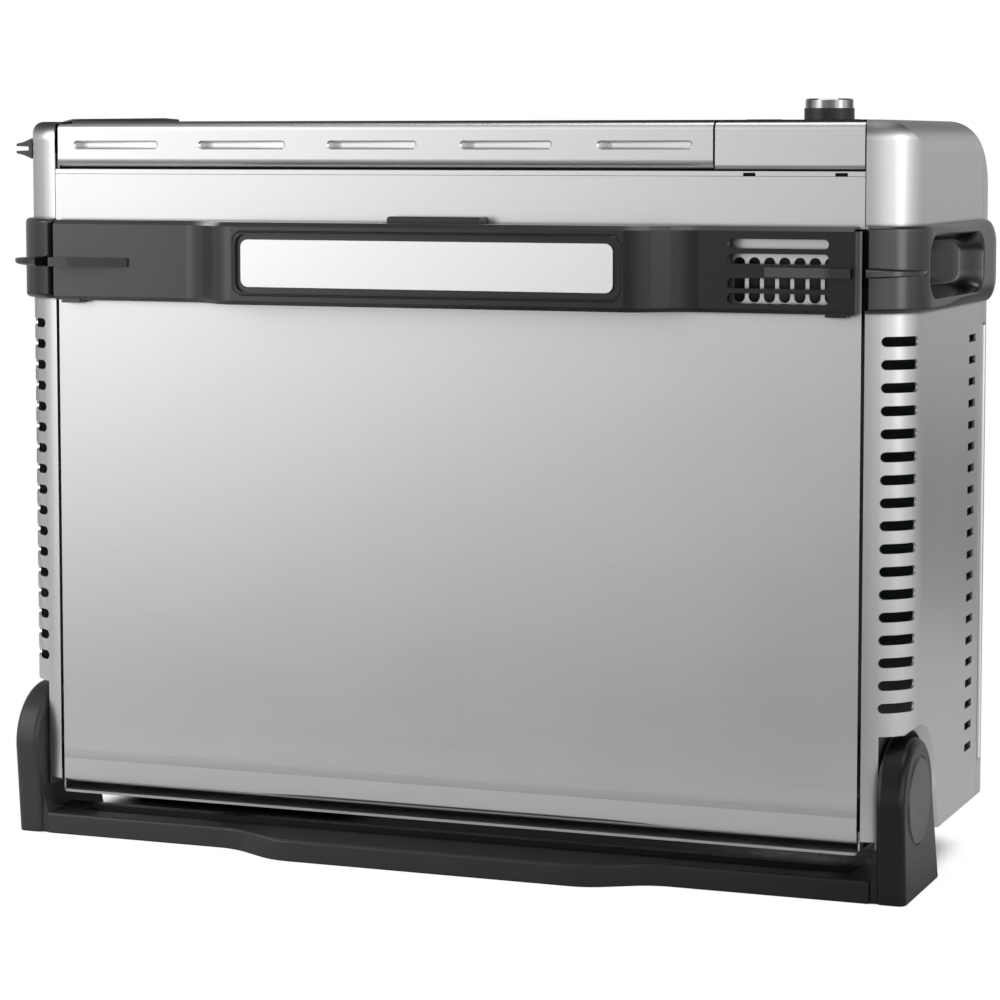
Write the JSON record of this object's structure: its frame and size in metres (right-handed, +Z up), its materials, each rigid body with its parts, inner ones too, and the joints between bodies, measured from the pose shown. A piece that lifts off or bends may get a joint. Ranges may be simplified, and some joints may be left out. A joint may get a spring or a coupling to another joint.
{
  "type": "countertop oven",
  "caption": "Flip-up countertop oven standing upright on a pivoting base, with side grips, a drop-down door, an underside access panel, slide-out rack and crumb tray.",
  "frame": {"origin": "on the base's underside, midway between the two arms and straight below the flip axis", "axes": "+X to the right seen from the underside panel, -Y towards the viewer, +Z up; the oven is stored in its upright pose"},
  "size_m": [0.5148, 0.2055, 0.3993],
  "materials": {
    "satin_steel": "fine brushed grain",
    "plain_steel": "plain zinc-plated sheet",
    "cavity_steel": "bright annealed sheet",
    "tray_steel": "aluminised sheet",
    "charcoal_plastic": "fine moulded grain",
    "black_plastic": "satin",
    "grey_plastic": "satin",
    "nylon": "plain",
    "rubber": "matt",
    "black_glass": "polished, opaque black",
    "clear_glass": "polished",
    "lamp_glass": "frosted",
    "display": "dark window",
    "circuit_board": "board",
    "black_enamel": "satin enamel",
    "heater": "dull oxide",
    "ceramic": "unglazed ceramic",
    "gasket": "woven glass fibre",
    "chrome_wire": "bright plating",
    "chrome": "bright plating"
  },
  "bodies": {
    "base": {"base_bar": "charcoal_plastic", "base_pads": "rubber", "base_arm_left": "charcoal_plastic", "base_arm_right": "charcoal_plastic", "pivot_caps": "grey_plastic", "pivot_pins": "plain_steel", "friction_washers": "nylon"},
    "oven": {"side_cover_left": "satin_steel", "side_cover_right": "satin_steel", "top_cover": "satin_steel", "underside_strip": "satin_steel", "back_panel": "plain_steel", "front_frame": "plain_steel", "pivot_brackets": "plain_steel", "side_handle_left": "charcoal_plastic", "side_handle_right": "charcoal_plastic", "access_pins": "plain_steel", "door_pins": "plain_steel", "side_lug_left": "charcoal_plastic", "control_housing": "satin_steel", "control_glass": "black_glass", "display_window": "display", "control_board": "circuit_board", "power_board": "circuit_board", "cavity_left_wall": "cavity_steel", "cavity_right_wall": "cavity_steel", "cavity_wrap": "cavity_steel", "rack_rails": "cavity_steel", "heater_rods": "heater", "ceramic_bushes": "ceramic", "fan_guard": "cavity_steel", "fan_shroud": "plain_steel", "fan_motor": "plain_steel", "oven_lamp": "lamp_glass", "temperature_probe": "plain_steel", "rear_spacers": "charcoal_plastic", "rear_spacer_tips": "rubber", "cord_gland": "black_plastic"},
    "door": {"door_trim": "satin_steel", "door_frame": "black_enamel", "door_outer_glass": "black_glass", "door_inner_glass": "clear_glass", "door_gasket": "gasket", "door_pull": "satin_steel", "door_end_cap": "black_plastic"},
    "access_panel": {"access_panel": "satin_steel", "access_inner": "black_enamel", "band_centre": "charcoal_plastic", "nameplate": "satin_steel"},
    "latch": {"latch_tab": "charcoal_plastic"},
    "wire_rack": {"wire_rack": "chrome_wire"},
    "crumb_tray": {"crumb_tray": "tray_steel"},
    "fan_wheel": {"fan_wheel": "cavity_steel"},
    "dial_push": {"dial_shaft": "grey_plastic"},
    "dial": {"dial_knob": "black_plastic", "dial_cap": "chrome"},
    "button_power": {"button_power": "black_plastic"},
    "button_time": {"button_time": "black_plastic"},
    "button_temperature": {"button_temperature": "black_plastic"},
    "button_light": {"button_light": "black_plastic"}
  },
  "joints": [
    {"name": "oven_flip", "type": "hinge", "parent": "base", "child": "oven", "pos_m": [0, 0, 0.048], "axis": [1, 0, 0], "range_deg": [0, 90]},
    {"name": "door_hinge", "type": "hinge", "parent": "oven", "child": "door", "pos_m": [0, -0.017, 0.3682], "axis": [1, 0, 0], "range_deg": [0, 90]},
    {"name": "access_hinge", "type": "hinge", "parent": "oven", "child": "access_panel", "pos_m": [0, -0.018, 0.031], "axis": [1, 0, 0], "range_deg": [0, 90]},
    {"name": "latch_slide", "type": "slide", "parent": "access_panel", "child": "latch", "axis": [0, 0, -1], "range_m": [0, 0.004], "stiffness_N_per_m": 300, "springref_m": -0.001},
    {"name": "rack_slide", "type": "slide", "parent": "oven", "child": "wire_rack", "axis": [0, 0, 1], "range_m": [0, 0.0786]},
    {"name": "tray_slide", "type": "slide", "parent": "oven", "child": "crumb_tray", "axis": [0, 0, 1], "range_m": [0, 0.0481]},
    {"name": "fan_spin", "type": "hinge", "parent": "oven", "child": "fan_wheel", "pos_m": [0.15, 0.054, 0.2], "axis": [1, 0, 0], "continuous": true},
    {"name": "dial_push", "type": "slide", "parent": "oven", "child": "dial_push", "axis": [0, 0, -1], "range_m": [0, 0.001], "stiffness_N_per_m": 900, "springref_m": -0.0005},
    {"name": "dial_turn", "type": "hinge", "parent": "dial_push", "child": "dial", "pos_m": [0.1862, 0.051, 0.39], "axis": [0, 0, 1], "continuous": true},
    {"name": "press_power", "type": "slide", "parent": "oven", "child": "button_power", "axis": [0, 0, -1], "range_m": [0, 0.0007], "stiffness_N_per_m": 900, "springref_m": -0.0005},
    {"name": "press_time", "type": "slide", "parent": "oven", "child": "button_time", "axis": [0, 0, -1], "range_m": [0, 0.0007], "stiffness_N_per_m": 900, "springref_m": -0.0005},
    {"name": "press_temperature", "type": "slide", "parent": "oven", "child": "button_temperature", "axis": [0, 0, -1], "range_m": [0, 0.0007], "stiffness_N_per_m": 900, "springref_m": -0.0005},
    {"name": "press_light", "type": "slide", "parent": "oven", "child": "button_light", "axis": [0, 0, -1], "range_m": [0, 0.0007], "stiffness_N_per_m": 900, "springref_m": -0.0005}
  ],
  "couplings": [
    {"joint": "rack_slide", "follows": "door_hinge", "m_per_rad": 0.05},
    {"joint": "tray_slide", "follows": "door_hinge", "m_per_rad": 0.0306}
  ]
}
